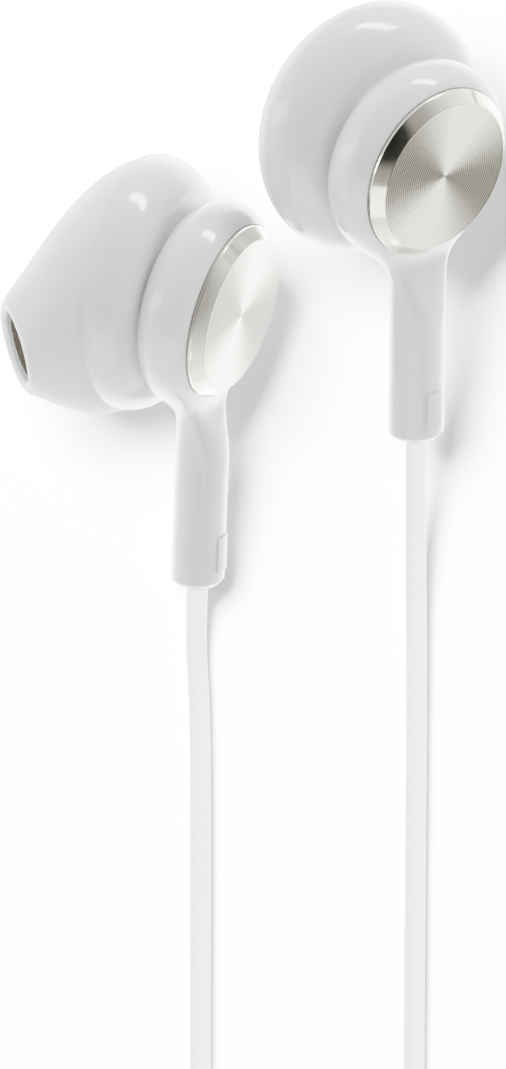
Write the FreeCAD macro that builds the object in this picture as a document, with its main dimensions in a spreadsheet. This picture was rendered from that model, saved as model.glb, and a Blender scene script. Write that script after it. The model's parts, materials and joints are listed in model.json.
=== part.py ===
"""Neckband earphones: a U-shaped neckband with two pods, two ear cords and two earbuds.

Millimetres, +Z up.  The set lies on a table at z = 0 with the neckband's crown toward +Y.
The origin is at the middle of the footprint of the set without its cords.
"""
import FreeCAD, Part
import math
import os
import re
import Sketcher

from FreeCAD import Placement, Rotation, Vector

SIZES = [
    ("disc_radius", 5.8, "metal end disc, widest"),
    ("disc_flat", 5.1, "metal end disc, radius of the flat face"),
    ("disc_proud", 0.65, "height of the flat face above the disc's rim"),
    ("disc_seat", 0.8, "depth of the disc's seat below its rim"),
    ("disc_gap", 0.1, "air between the disc and its seat"),
    ("puck_radius", 6.85, "rear housing, widest"),
    ("puck_depth", 4.2, "rear housing, front to back"),
    ("puck_round", 2.05, "rounding of the rear housing's rims"),
    ("clasp_radius", 4.0, "clasp magnet radius"),
    ("clasp_depth", 1.7, "clasp magnet thickness"),
    ("neck_radius", 4.2, "neck between rear housing and driver housing"),
    ("neck_depth", 1.6, "length of the neck"),
    ("neck_sink", 0.55, "depth of the neck in the driver housing"),
    ("bulb_radius", 8.35, "driver housing, widest"),
    ("bulb_depth", 2.85, "driver housing, back of the widest ring"),
    ("bulb_round", 2.75, "rounding of the driver housing's rim"),
    ("bulb_wall", 1.05, "driver housing wall"),
    ("bulb_back", 6.7, "distance from disc rim to the widest ring"),
    ("bulb_tilt", 8.0, "lean of the driver housing toward the stem, degrees"),
    ("frame_inner", 6.2, "driver frame, inner radius"),
    ("frame_depth", 0.9, "driver frame, depth"),
    ("film_depth", 0.2, "diaphragm thickness"),
    ("driver_radius", 3.4, "driver magnet radius"),
    ("driver_depth", 1.2, "driver magnet thickness"),
    ("coil_inner", 3.5, "voice coil, inner radius"),
    ("coil_wall", 0.25, "voice coil wall"),
    ("coil_depth", 0.9, "voice coil height"),
    ("nozzle_radius", 3.1, "sleeve end, outer radius"),
    ("sleeve_wall", 0.7, "sleeve wall"),
    ("sleeve_gap", 0.28, "air between sleeve and front shell"),
    ("shell_wall", 0.6, "front shell wall"),
    ("shell_ease", 0.3, "extra air round the front shell's wide end"),
    ("mesh_depth", 0.25, "sound mesh thickness"),
    ("stem_length", 19.15, "middle of the rear housing to the stem's tip"),
    ("stem_half", 1.9, "half width of the stem"),
    ("stem_thick", 1.7, "half thickness of the stem"),
    ("stem_back", 1.55, "depth of the stem's middle line where it starts"),
    ("stem_lean", 1.85, "how far the tip leans forward"),
    ("stem_bevel", 0.35, "bevel at the stem's tip"),
    ("key_width", 1.1, "raised key on the stem"),
    ("key_length", 2.4, "raised key on the stem, along the stem"),
    ("plug_radius", 1.1, "cord bush radius"),
    ("plug_length", 1.8, "cord bush length"),
    ("cord_radius", 0.675, "cord radius"),
    ("flex_length", 1.6, "bending length of cord at the stem"),
    ("band_radius", 62.0, "neckband centre line"),
    ("band_centre", 7.0, "neckband centre, along Y"),
    ("band_half", 3.0, "half width of the band"),
    ("band_rise", 2.1, "half height of the band"),
    ("band_height", 2.15, "height of the band's centre line"),
    ("band_fixed", 12.0, "half angle of the middle piece, degrees"),
    ("band_flexed", 20.0, "angle where the arms start, degrees"),
    ("band_collar", 99.0, "angle where the collars start, degrees"),
    ("band_end", 100.0, "angle where the pods start, degrees"),
    ("wire_radius", 0.6, "spring wire radius"),
    ("pod_length", 68.85, "pod, from the band's end to its tip"),
    ("pod_wall", 1.1, "pod wall"),
    ("pod_split", 4.7, "height of the seam between the pod cases"),
    ("pod_sink", 0.25, "how much the round underside is cut flat"),
    ("button_width", 3.6, "button width"),
    ("button_length", 6.0, "volume button length"),
    ("button_top", 9.5, "top of the buttons"),
    ("button_foot", 6.9, "underside of the buttons"),
    ("switch_side", 3.0, "switch body"),
    ("board_top", 3.6, "upper face of the circuit board"),
    ("board_depth", 0.8, "circuit board thickness"),
    ("moving_gap", 0.2, "air round each moving piece of a pod"),
]

# Disc centre in the set's frame, outward normal of the disc, direction of the stem.
BUDS = {
    "left": (Vector(-1.30, 22.80, 10.25), Vector(0.882, -0.299, 0.365), Vector(0.032, -0.940, -0.340)),
    "right": (Vector(11.85, 31.70, 14.27), Vector(0.663, -0.414, 0.623), Vector(-0.026, -0.897, -0.442)),
}
MIRROR = {"left": -1, "right": 1}

# How far each driver housing has turned sideways on its neck, in degrees, and moved up on it.
BULB_TURN = {"left": 0.0, "right": -5.0}
BULB_LIFT = {"left": 0.0, "right": 0.4}

# Power of the stem's forward curve: 1 is straight.
STEM_CURVE = 1.2

# The sleeve's long and short side in the bud's xz plane, as control points of two curves.
# They are for the right bud; the left bud's x is mirrored.
HORN_LONG = ((-8.35, -6.70), (-7.40, -11.50), (5.75, -13.45))
HORN_SHORT = ((8.35, -6.70), (9.50, -7.90), (10.15, -9.10))
HORN_STEPS = (0.0, 0.25, 0.5, 0.75, 1.0)
HORN_DROP = 3.5
HORN_RISE = 0.2
HORN_DIP = (8.0, 17.0)

# Distance along the stem, half width; the thickness is the same all along.
STEM_SECTIONS = ((3.4, 3.9), (5.6, 3.2), (7.2, 2.45), (9.4, 2.0), (13.0, 1.92))

# Half width and half height of the pod at even steps from the band's end to the pod's tip.
POD_PROFILE = (
    (3.0, 2.1), (4.3, 3.1), (5.6, 4.15), (6.2, 4.6), (6.4, 4.7),
    (6.4, 4.7), (6.25, 4.6), (5.8, 4.3), (4.7, 3.5), (2.6, 2.1),
)

# Cord centre lines beyond the straight lead out of the stem, all clear of the buds and the band.
CORD_LEADS = {"left": 2.8, "right": 6.6}
CORD_ROUTES = {
    "left": ((-3.45, -2.40, 0.71), (-3.38, -11.40, 0.70), (-3.45, -29.40, 0.70),
             (-3.30, -58.00, 0.70), (-6.00, -79.50, 0.70), (-14.00, -96.00, 0.70),
             (-27.50, -102.50, 0.72), (-40.50, -97.00, 0.80), (-47.30, -84.50, 1.25)),
    "right": ((10.62, -2.50, 0.71), (10.50, -15.00, 0.70), (10.35, -38.00, 0.70),
              (10.60, -64.00, 0.70), (13.30, -81.00, 0.70), (20.50, -93.00, 0.70),
              (31.00, -97.50, 0.72), (41.30, -93.00, 0.80), (47.20, -83.30, 1.25)),
}
ROUND_SHARE = 0.45

BUTTONS = (("volume_up", 34.0), ("call_button", 42.0), ("volume_down", 50.0))

doc = FreeCAD.newDocument("neckband_earphones")
sheet = doc.addObject("Spreadsheet::Sheet", "Sizes")
for row, (alias, number, note) in enumerate(SIZES, start=1):
    sheet.set("A%d" % row, note)
    sheet.set("B%d" % row, str(number))
    sheet.setAlias("B%d" % row, alias)
doc.recompute()

nodes = {}


def size(alias):
    """Number held in the sheet under an alias."""
    return float(sheet.get(alias))


def formula(text):
    """Expression in which every name with an underscore is a cell of the sheet."""
    return re.sub(r"\b([a-z]+_[a-z]+)\b", r"Sizes.\1", text)


def bind(thing, **sizes):
    """Tie properties of an object to formulas of the sheet."""
    for name, text in sizes.items():
        thing.setExpression(name, formula(text))


def keep(label, thing):
    """Register an object as a finished sub-part."""
    thing.Label = label
    nodes[label] = thing
    return thing


def axes(first, second, third, base):
    """Placement whose x, y and z axes point along three directions."""
    matrix = FreeCAD.Matrix(
        first.x, second.x, third.x, base.x,
        first.y, second.y, third.y, base.y,
        first.z, second.z, third.z, base.z,
        0, 0, 0, 1)
    return Placement(matrix)


def unit(vector):
    """Copy of a vector with length one."""
    return Vector(vector) / vector.Length


def bud_frame(side):
    """Frame of a bud: z out of the disc, y away from the stem."""
    centre, normal, stem = BUDS[side]
    normal = unit(normal)
    upward = stem * -1
    upward = unit(upward - normal * upward.dot(normal))
    return axes(upward.cross(normal), upward, normal, centre)


def turned_frame(side):
    """Frame of the bud turned about the middle of the driver housing, for what lies behind the neck."""
    middle = Vector(0, BULB_LIFT[side], -size("bulb_back"))
    turn = Rotation(Vector(0, 1, 0), BULB_TURN[side])
    back = Placement(Vector(0, 0, size("bulb_back")), Rotation())
    return bud_frame(side) * Placement(middle, turn) * back


def bulb_frame(side):
    """Frame of the driver housing: z toward the disc from the widest ring."""
    tilt = Rotation(Vector(1, 0, 0), -size("bulb_tilt"))
    return turned_frame(side) * Placement(Vector(0, 0, -size("bulb_back")), tilt)


def pod_frame(side):
    """Frame of a pod: y along the pod away from the band, z up."""
    hand = MIRROR[side]
    angle = math.radians(size("band_end"))
    radius = size("band_radius")
    base = Vector(hand * radius * math.sin(angle), size("band_centre") + radius * math.cos(angle), 0)
    heading = Vector(hand * math.cos(angle), -math.sin(angle), 0)
    return axes(heading.cross(Vector(0, 0, 1)), heading, Vector(0, 0, 1), base)


def outline(body, corners):
    """Closed sketch on the body's XZ plane through corners given as formulas."""
    sketch = body.newObject("Sketcher::SketchObject", body.Label + "_outline")
    plane = [part for part in body.Origin.OriginFeatures if part.Role == "XZ_Plane"][0]
    sketch.AttachmentSupport = [(plane, "")]
    sketch.MapMode = "FlatFace"
    count = len(corners)
    spots = []
    for index in range(count):
        turn = 2 * math.pi * index / count
        spots.append(Vector(10 + 9 * math.cos(turn), 9 * math.sin(turn), 0))
    for index in range(count):
        sketch.addGeometry(Part.LineSegment(spots[index], spots[(index + 1) % count]))
    for index in range(count):
        sketch.addConstraint(Sketcher.Constraint("Coincident", index, 2, (index + 1) % count, 1))
    for index, corner in enumerate(corners):
        for kind, start, text in zip(("DistanceX", "DistanceY"), spots[index], corner):
            number = sketch.addConstraint(Sketcher.Constraint(kind, -1, 1, index, 1, start))
            sketch.setExpression("Constraints[%d]" % number, formula(text))
    doc.recompute()
    return sketch


def turned(label, corners, place, rounding=None, rims=()):
    """Body turned about its z axis from an outline, with chosen rims rounded."""
    body = doc.addObject("PartDesign::Body", label)
    body.Label = label
    sketch = outline(body, corners)
    turn = body.newObject("PartDesign::Revolution", label + "_turn")
    turn.Profile = sketch
    turn.ReferenceAxis = (sketch, ["V_Axis"])
    turn.Angle = 360
    doc.recompute()
    if rounding:
        edges = [rim_edge(turn.Shape, radius, height) for radius, height in rims]
        fillet = body.newObject("PartDesign::Fillet", label + "_round")
        fillet.Base = (turn, edges)
        bind(fillet, Radius=rounding)
        doc.recompute()
    body.Placement = place
    return body


def rim_edge(shape, radius, height):
    """Name of the circular edge with this radius and height."""
    for index, edge in enumerate(shape.Edges, start=1):
        curve = edge.Curve
        if isinstance(curve, Part.Circle) and abs(curve.Radius - radius) < 1e-3:
            if abs(curve.Center.z - height) < 1e-3:
                return "Edge%d" % index
    raise ValueError("no rim of radius %.2f at %.2f" % (radius, height))


def rod(label, place, radius, height, lift=0.0):
    """Round bar standing on its frame's xy plane, raised by lift."""
    bar = doc.addObject("Part::Cylinder", label)
    bind(bar, Radius=radius, Height=height)
    bar.Placement = place * Placement(Vector(0, 0, lift), Rotation())
    return bar


def block(label, place, corner, sides):
    """Box from a corner in a frame, with plain or bound side lengths."""
    box = doc.addObject("Part::Box", label)
    for name, side in zip(("Length", "Width", "Height"), sides):
        bind(box, **{name: str(side)})
    box.Placement = place * Placement(Vector(*corner), Rotation())
    return box


def joined(label, kind, base, tool):
    """Boolean of two objects: Cut, Fuse or Common."""
    result = doc.addObject("Part::" + kind, label)
    result.Base = base
    result.Tool = tool
    doc.recompute()
    return result


def fused(label, shapes):
    """Union of several objects."""
    result = doc.addObject("Part::MultiFuse", label)
    result.Shapes = shapes
    doc.recompute()
    return result


def lofted(label, sections, ruled=False):
    """Solid through closed curves."""
    loft = doc.addObject("Part::Loft", label)
    loft.Sections = sections
    loft.Solid = True
    loft.Ruled = ruled
    doc.recompute()
    return loft


def oval(label, place, half_wide, half_high):
    """Ellipse section, wide along its frame's x axis."""
    curve = doc.addObject("Part::Ellipse", label)
    bind(curve, MajorRadius=half_wide, MinorRadius=half_high)
    curve.Placement = place
    return curve


def on_curve(controls, step):
    """Point of a curve with three control points at a step from 0 to 1."""
    points = [Vector(x, 0, z) for x, z in controls]
    rest = 1 - step
    return points[0] * rest ** 2 + points[1] * (2 * rest * step) + points[2] * step ** 2


def horn_ring(side, step):
    """Frame and outer radius of the sleeve's ring at a step, in the bud's frame."""
    hand = MIRROR[side]
    low = on_curve(HORN_LONG, step)
    high = on_curve(HORN_SHORT, step)
    middle = (low + high) * 0.5
    across = unit(high - low)
    dip = math.radians(HORN_DIP[0] + (HORN_DIP[1] - HORN_DIP[0]) * step)
    heading = Vector(hand * across.z * math.cos(dip), -math.sin(dip), -across.x * math.cos(dip))
    across = Vector(hand * across.x, 0, across.z)
    drop = HORN_DROP * step - HORN_RISE * math.sin(math.pi * step)
    centre = Vector(hand * middle.x, -drop, middle.z)
    return axes(across, heading.cross(across), heading, centre), (high - low).Length / 2


def horn(label, side, inset, lead=0.0, shortfall=0.0, ease="0"):
    """Tapering horn from the widest ring to the nozzle, inset from the sleeve's outside."""
    sections = []
    for index, step in enumerate(HORN_STEPS):
        frame, radius = horn_ring(side, step)
        shift = 0.0
        step_inset = inset
        if index == 0:
            shift = lead
            step_inset = inset + " + " + ease
        if index == len(HORN_STEPS) - 1:
            shift = -shortfall
        ring = doc.addObject("Part::Circle", "%s_ring_%d" % (label, index))
        bind(ring, Radius="%.4f - (%s)" % (radius, step_inset))
        ring.Placement = turned_frame(side) * frame * Placement(Vector(0, 0, shift), Rotation())
        sections.append(ring)
    return lofted(label, sections)


def stem_point(distance):
    """Centre and direction of the stem's middle line, in the bud's frame."""
    share = distance / size("stem_length")
    lean = size("stem_lean")
    centre = Vector(0, -distance, lean * share ** STEM_CURVE - size("stem_back"))
    slope = lean * STEM_CURVE * share ** (STEM_CURVE - 1) / size("stem_length")
    heading = Vector(0, -1, slope)
    return centre, unit(heading)


def stem_frame(side, distance):
    """Frame on the stem's middle line: z toward the tip, x across the stem."""
    centre, heading = stem_point(distance)
    across = Vector(1, 0, 0)
    return bud_frame(side) * axes(across, heading.cross(across), heading, centre)


def make_cap_disc(side):
    """Metal disc with a bevelled rim and a flat face."""
    corners = (("0", "-disc_seat"), ("disc_radius", "-disc_seat"), ("disc_radius", "0"),
               ("disc_flat", "disc_proud"), ("0", "disc_proud"))
    keep("cap_disc_" + side, turned("cap_disc_" + side, corners, bud_frame(side)))


def make_rear_shell(side):
    """Rear housing with its stem, seat, magnet pocket and neck; returns the uncut core."""
    place = bud_frame(side)
    corners = (("0", "-puck_depth"), ("puck_radius", "-puck_depth"), ("puck_radius", "0"), ("0", "0"))
    rims = ((size("puck_radius"), 0), (size("puck_radius"), -size("puck_depth")))
    puck = turned("puck_" + side, corners, place, "puck_round", rims)
    neck_lift = size("bulb_depth") - size("neck_sink")
    neck = rod("neck_" + side, bulb_frame(side), "neck_radius", "neck_depth", neck_lift)
    tip = size("stem_length")
    bevel = size("stem_bevel")
    sections = []
    for index, (distance, half) in enumerate(STEM_SECTIONS):
        frame = stem_frame(side, distance)
        sections.append(oval("stem_%s_%d" % (side, index), frame, str(half), "stem_thick"))
    shoulder = oval("stem_shoulder_" + side, stem_frame(side, tip - bevel), "stem_half", "stem_thick")
    shank = lofted("shank_" + side, sections + [shoulder])
    end_frame = stem_frame(side, tip)
    end = oval("stem_end_" + side, end_frame, "stem_half - stem_bevel", "stem_thick - stem_bevel")
    start = oval("stem_start_" + side, stem_frame(side, tip - bevel), "stem_half", "stem_thick")
    tip_cone = lofted("stem_tip_" + side, [start, end], ruled=True)
    core = fused("core_" + side, [puck, neck, shank, tip_cone])
    seat = rod("seat_" + side, place, "disc_radius + disc_gap", "4", -size("disc_seat"))
    pocket_lift = -size("disc_seat") - size("clasp_depth") - size("disc_gap")
    pocket = rod("pocket_" + side, place, "clasp_radius + disc_gap", "4", pocket_lift)
    bore = rod("bore_" + side, end_frame, "plug_radius", "plug_length + 1", -size("plug_length"))
    cutters = fused("cutters_" + side, [seat, pocket, bore])
    keep("rear_shell_" + side, joined("rear_shell_" + side, "Cut", core, cutters))
    magnet = rod("clasp_magnet_" + side, place, "clasp_radius", "clasp_depth", pocket_lift)
    keep("clasp_magnet_" + side, magnet)
    bush = rod("cord_bush_" + side, end_frame, "plug_radius", "plug_length", -size("plug_length"))
    keep("cord_bush_" + side, bush)
    return core


def make_stem_key(side, core):
    """Small raised key on the front of the stem near its tip."""
    frame = stem_frame(side, size("stem_length") - 2.3)
    width = size("key_width")
    length = size("key_length")
    box = block("key_box_" + side, frame, (-width / 2, 0, -length / 2), ("key_width", "3", "key_length"))
    reach = oval("key_reach_" + side, frame * Placement(Vector(0, 0, -3), Rotation()),
                 "stem_half + 0.14", "stem_thick + 0.14")
    reach_end = oval("key_reach_end_" + side, frame * Placement(Vector(0, 0, 3), Rotation()),
                     "stem_half + 0.14", "stem_thick + 0.14")
    skin = lofted("key_skin_" + side, [reach, reach_end], ruled=True)
    slab = joined("key_slab_" + side, "Common", box, skin)
    keep("stem_key_" + side, joined("stem_key_" + side, "Cut", slab, core))


def make_driver_housing(side, core):
    """Round housing behind the neck, with the speaker's parts inside."""
    place = bulb_frame(side)
    corners = (("0", "0"), ("bulb_radius", "0"), ("bulb_radius", "bulb_depth"), ("0", "bulb_depth"))
    rim = (size("bulb_radius"), size("bulb_depth"))
    dome = turned("dome_" + side, corners, place, "bulb_round", (rim,))
    cavity = rod("cavity_" + side, place, "bulb_radius - bulb_wall", "bulb_depth - bulb_wall + 1", -1.0)
    hollow = joined("hollow_dome_" + side, "Cut", dome, cavity)
    keep("dome_shell_" + side, joined("dome_shell_" + side, "Cut", hollow, core))
    rim = rod("frame_disc_" + side, place, "bulb_radius - bulb_wall - 0.05", "frame_depth")
    hole = rod("frame_hole_" + side, place, "frame_inner", "frame_depth + 2", -1.0)
    keep("driver_frame_" + side, joined("driver_frame_" + side, "Cut", rim, hole))
    keep("diaphragm_" + side, rod("diaphragm_" + side, place, "frame_inner", "film_depth"))
    coil = rod("coil_bar_" + side, place, "coil_inner + coil_wall", "coil_depth", size("film_depth"))
    coil_hole = rod("coil_hole_" + side, place, "coil_inner", "coil_depth + 2", -0.5)
    keep("voice_coil_" + side, joined("voice_coil_" + side, "Cut", coil, coil_hole))
    lift = size("bulb_depth") - size("bulb_wall") - size("driver_depth")
    magnet = rod("driver_magnet_" + side, place, "driver_radius", "driver_depth", lift)
    keep("driver_magnet_" + side, magnet)


def make_front(side):
    """Hard front shell with its sound mesh, and the soft sleeve drawn over it."""
    outer = horn("sleeve_outer_" + side, side, "0", lead=0.15)
    inner = horn("sleeve_inner_" + side, side, "sleeve_wall", lead=0.15)
    keep("ear_sleeve_" + side, joined("ear_sleeve_" + side, "Cut", outer, inner))
    fit = "sleeve_wall + sleeve_gap"
    shell = horn("shell_outer_" + side, side, fit, shortfall=1.3, ease="shell_ease")
    bore = horn("shell_inner_" + side, side, fit + " + shell_wall", lead=-0.05, shortfall=1.25, ease="shell_ease")
    keep("front_shell_" + side, joined("front_shell_" + side, "Cut", shell, bore))
    frame = turned_frame(side) * horn_ring(side, 1.0)[0] * Placement(Vector(0, 0, -1.3), Rotation())
    radius = "nozzle_radius - sleeve_wall - sleeve_gap"
    keep("sound_mesh_" + side, rod("sound_mesh_" + side, frame, radius, "mesh_depth"))


def band_ring(label, start, finish, half_wide, half_high):
    """Part of the neckband's ring between two angles measured from its crown."""
    place = Placement(Vector(0, size("band_centre"), 0), Rotation(Vector(0, 0, 1), 90 - finish))
    section = Placement(Vector(size("band_radius"), 0, size("band_height")), Rotation(Vector(1, 0, 0), 90))
    curve = oval(label + "_section", place * section, half_wide, half_high)
    ring = doc.addObject("Part::Revolution", label)
    ring.Source = curve
    ring.Base = Vector(0, size("band_centre"), 0)
    ring.Axis = Vector(0, 0, 1)
    ring.Angle = finish - start
    ring.Solid = True
    doc.recompute()
    return ring


def make_band_piece(label, start, finish, wire_label=None):
    """One piece of the silicone band, bored for the spring wire, with that wire."""
    sleeve = band_ring(label + "_solid", start, finish, "band_half", "band_rise")
    core = band_ring(label + "_core", start, finish, "wire_radius", "wire_radius")
    keep(label, joined(label, "Cut", sleeve, core))
    if wire_label:
        keep(wire_label, band_ring(wire_label, start, finish, "wire_radius", "wire_radius"))


def make_band():
    """Neckband from crown to collars, and the spring wire in it."""
    fixed = size("band_fixed")
    flexed = size("band_flexed")
    collar = size("band_collar")
    end = size("band_end")
    make_band_piece("band_crown", -fixed, fixed, "wire_crown")
    for side, hand in MIRROR.items():
        spans = {"band_flex": (fixed, flexed), "band_arm": (flexed, collar), "band_collar": (collar, end)}
        for name, span in spans.items():
            start, finish = sorted(hand * angle for angle in span)
            make_band_piece("%s_%s" % (name, side), start, finish)
        for name, span in {"wire_flex": (fixed, flexed), "wire_arm": (flexed, end)}.items():
            start, finish = sorted(hand * angle for angle in span)
            wire_label = "%s_%s" % (name, side)
            keep(wire_label, band_ring(wire_label, start, finish, "wire_radius", "wire_radius"))


def pod_loft(label, place, inset, first, last):
    """Smooth solid through some of the pod's oval sections, inset from its outside."""
    pitch = size("pod_length") / (len(POD_PROFILE) - 1)
    curves = []
    for index in range(first, last):
        half_wide, half_high = POD_PROFILE[index]
        lift = size("band_height") if index == 0 else half_high - size("pod_sink")
        frame = Placement(Vector(0, index * pitch, lift), Rotation(Vector(1, 0, 0), 90))
        wide = "%.3f - (%s)" % (half_wide, inset)
        high = "%.3f - (%s)" % (half_high, inset)
        curves.append(oval("%s_%d" % (label, index), place * frame, wide, high))
    return lofted(label, curves)


def pod_tip(side):
    """Frame at the pod's tip: z out of the tip along the cord."""
    height = POD_PROFILE[-1][1] - size("pod_sink")
    spot = Vector(0, size("pod_length"), height)
    return pod_frame(side) * Placement(spot, Rotation(Vector(1, 0, 0), -90))


def pod_openings(side):
    """Solids cut out of the right pod for its buttons, socket, lamp and microphone."""
    place = pod_frame(side)
    gap = size("moving_gap")
    tools = [block("flap_room", place, (-8, 16.8, 2.9), (4.0, 11.4, 4.5))]
    for name, distance in BUTTONS:
        width = size("button_width") + 2 * gap
        length = size("button_length") + 2 * gap
        corner = (-width / 2, distance - length / 2, size("button_foot") - 0.5)
        tools.append(block(name + "_room", place, corner,
                           ("button_width + 2 * moving_gap", "button_length + 2 * moving_gap", 6)))
    tools.append(rod("lamp_room", place * Placement(Vector(0, 29.0, 0), Rotation()), "0.7", "5", 7.0))
    return fused("pod_openings", tools)


def make_pod(side):
    """Upper and lower case of a pod; returns its outside solid."""
    place = pod_frame(side)
    count = len(POD_PROFILE)
    outside = pod_loft("pod_outside_" + side, place, "0", 0, count)
    inside = pod_loft("pod_inside_" + side, place, "pod_wall", 1, count - 1)
    ground = block("pod_ground_" + side, place, (-20, -5, -20), (40, 90, 20))
    trimmed = joined("pod_trimmed_" + side, "Cut", outside, ground)
    hollow = joined("pod_hollow_" + side, "Cut", trimmed, inside)
    depth = -size("plug_length")
    bore = rod("pod_bore_" + side, pod_tip(side), "plug_radius", "plug_length + 1", depth)
    shell = joined("pod_shell_" + side, "Cut", hollow, bore)
    keep("pod_bush_" + side, rod("pod_bush_" + side, pod_tip(side), "plug_radius", "plug_length", depth))
    if side == "right":
        shell = joined("pod_cut_" + side, "Cut", shell, pod_openings(side))
    upper_half = block("pod_upper_" + side, place, (-20, -5, size("pod_split")), (40, 90, 20))
    keep("pod_top_" + side, joined("pod_top_" + side, "Common", shell, upper_half))
    keep("pod_base_" + side, joined("pod_base_" + side, "Cut", shell, upper_half))
    return outside


def make_left_pod_parts():
    """Battery inside the left pod."""
    cell = block("battery", pod_frame("left"), (-3.6, 18.0, 2.2), (7.2, 33.0, 4.2))
    keep("battery", cell)


def make_right_pod_parts(outside):
    """Board, socket, flap, buttons, switches and lamp of the right pod."""
    place = pod_frame("right")
    floor = size("board_top") - size("board_depth")
    keep("circuit_board", block("circuit_board", place, (-4.2, 16.0, floor), (8.4, 39.0, "board_depth")))
    socket = block("socket_box", place, (-4.5, 18.0, size("board_top")), (6.5, 9.0, 2.7))
    mouth = block("socket_mouth", place, (-5.5, 18.3, size("board_top") + 0.3), (6.4, 8.4, 2.1))
    keep("usb_socket", joined("usb_socket", "Cut", socket, mouth))
    flap_box = block("flap_box", place, (-8, 17.0, 3.1), (3.1, 11.0, 4.1))
    keep("usb_flap", joined("usb_flap", "Common", outside, flap_box))
    width = size("button_width")
    length = size("button_length")
    foot = size("button_foot")
    side = size("switch_side")
    for name, distance in BUTTONS:
        blank = block(name + "_blank", place, (-width / 2, distance - length / 2, foot),
                      ("button_width", "button_length", "button_top - button_foot"))
        doc.recompute()
        rounded = doc.addObject("Part::Fillet", name)
        rounded.Base = blank
        upper = []
        for index, edge in enumerate(blank.Shape.Edges, start=1):
            if edge.BoundBox.ZMax > size("button_top") - 0.01:
                upper.append((index, 0.5, 0.5))
        rounded.Edges = upper
        doc.recompute()
        keep(name, rounded)
        keep(name + "_switch", block(name + "_switch", place, (-side / 2, distance - side / 2, size("board_top")),
                                     ("switch_side", "switch_side", "2.9")))
    lamp_place = place * Placement(Vector(0, 29.0, 0), Rotation())
    keep("status_lamp", rod("status_lamp", lamp_place, "0.7", "3", 6.1))


def cord_lead(side):
    """Start and end of the straight run in which the free cord leaves the stem."""
    start = stem_frame(side, size("stem_length"))
    near = start.multVec(Vector(0, 0, size("flex_length")))
    far = start.multVec(Vector(0, 0, size("flex_length") + CORD_LEADS[side]))
    return [near, far]


def rounded_path(points):
    """Wire of straight runs joined by arcs as large as the runs allow, and the arc radii."""
    edges = []
    radii = []
    start = points[0]
    for before, corner, after in zip(points, points[1:], points[2:]):
        inward = unit(before - corner)
        outward = unit(after - corner)
        half_turn = (math.pi - inward.getAngle(outward)) / 2
        setback = ROUND_SHARE * min((before - corner).Length, (after - corner).Length)
        radii.append(setback / math.tan(half_turn))
        first = corner + inward * setback
        last = corner + outward * setback
        bisector = unit(inward + outward)
        middle = corner + bisector * (radii[-1] / math.cos(half_turn) - radii[-1])
        edges.append(Part.LineSegment(start, first).toShape())
        edges.append(Part.Arc(first, middle, last).toShape())
        start = last
    edges.append(Part.LineSegment(start, points[-1]).toShape())
    return Part.Wire(edges), radii


def make_cord(side):
    """Ear cord from the bending length at the stem to the pod's bush."""
    points = cord_lead(side) + [Vector(*spot) for spot in CORD_ROUTES[side]] + [pod_tip(side).Base]
    path, radii = rounded_path(points)
    radius = size("cord_radius")
    profile = Part.Wire(Part.makeCircle(radius, points[0], points[1] - points[0]))
    cord = doc.addObject("Part::Feature", "cord_" + side)
    cord.Shape = path.makePipeShell([profile], True, False)
    keep("cord_" + side, cord)
    expected = math.pi * radius ** 2 * path.Length
    print("cord_%s length %.1f mm, runs summed %.1f mm" % (side, path.Length, sum(
        (b - a).Length for a, b in zip(points, points[1:]))))
    print("  radii", ", ".join("%.1f" % value for value in radii))
    print("  runs", ", ".join("%.1f" % (b - a).Length for a, b in zip(points, points[1:])))
    print("  volume %.2f, section times length %.2f" % (cord.Shape.Volume, expected))
    print("  points", "; ".join("%.2f %.2f %.2f" % tuple(spot) for spot in points))
    flex = rod("cord_flex_" + side, stem_frame(side, size("stem_length")), "cord_radius", "flex_length")
    keep("cord_flex_" + side, flex)


def build():
    """Make every sub-part."""
    for side in MIRROR:
        make_cap_disc(side)
        core = make_rear_shell(side)
        make_stem_key(side, core)
        make_driver_housing(side, core)
        make_front(side)
        make_cord(side)
    make_band()
    make_pod("left")
    make_left_pod_parts()
    make_right_pod_parts(make_pod("right"))


def check_and_export():
    """Stop if any object failed, then write one STEP file for each sub-part."""
    doc.recompute()
    for thing in doc.Objects:
        if "Invalid" in thing.State or "Error" in thing.State:
            raise RuntimeError("%s failed" % thing.Label)
    os.makedirs("parts", exist_ok=True)
    for label, thing in nodes.items():
        shape = thing.Shape
        if shape.isNull() or not shape.isValid() or len(shape.Solids) != 1:
            raise RuntimeError("%s is not one valid solid (%d)" % (label, len(shape.Solids)))
    for label, thing in nodes.items():
        thing.Shape.exportStep("parts/%s.step" % label)
        box = thing.Shape.BoundBox
        print("%-22s %8.1f mm3  z %6.2f to %6.2f" % (label, thing.Shape.Volume, box.ZMin, box.ZMax))
    print(len(nodes), "sub-parts")


build()
check_and_export()
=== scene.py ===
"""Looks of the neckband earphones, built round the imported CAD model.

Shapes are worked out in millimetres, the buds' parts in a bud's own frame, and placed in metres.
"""

import json
import math

import bpy
import numpy as np
from mathutils import Matrix, Vector


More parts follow.
